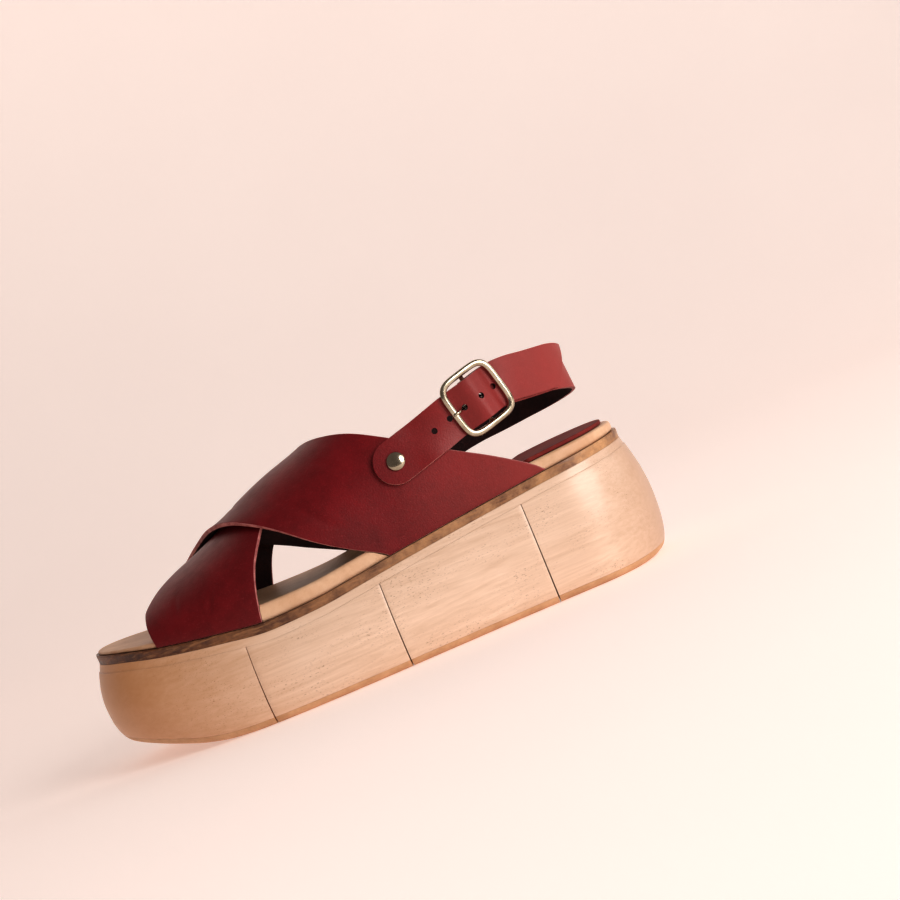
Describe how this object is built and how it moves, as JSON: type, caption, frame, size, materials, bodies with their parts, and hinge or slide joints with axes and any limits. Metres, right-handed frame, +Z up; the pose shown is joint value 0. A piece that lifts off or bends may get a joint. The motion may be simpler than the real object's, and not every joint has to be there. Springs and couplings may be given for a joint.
{
  "type": "platform sandal",
  "caption": "Left platform sandal: crossed leather straps, buckled heel sling, leather-covered footbed and welt on a sawn wooden platform.",
  "frame": {"origin": "centre of the bounding box's base, on the floor plane that the sole stands on", "axes": "+X towards the toe, +Y towards the outer side of the foot, +Z up"},
  "size_m": [0.2618, 0.1058, 0.1096],
  "materials": {
    "wood": "satin varnish",
    "outsole": "smooth, matt",
    "welt": "raw fibrous edge",
    "tan": "natural, smooth",
    "maroon": "matt",
    "burgundy": "soft sheen, raw cut edges",
    "nickel": "warm nickel plate, lightly brushed"
  },
  "bodies": {
    "root": {"platform_wood": "wood", "outsole_1": "outsole", "outsole_2": "outsole", "outsole_3": "outsole", "outsole_4": "outsole", "welt": "welt", "footbed": "tan", "heel_pad": "maroon", "upper": "burgundy", "tab_strap": "burgundy", "sling_strap": "burgundy", "buckle_frame": "nickel", "buckle_prong": "nickel", "rivet_lateral": "nickel", "rivet_medial": "nickel"}
  },
  "joints": []
}
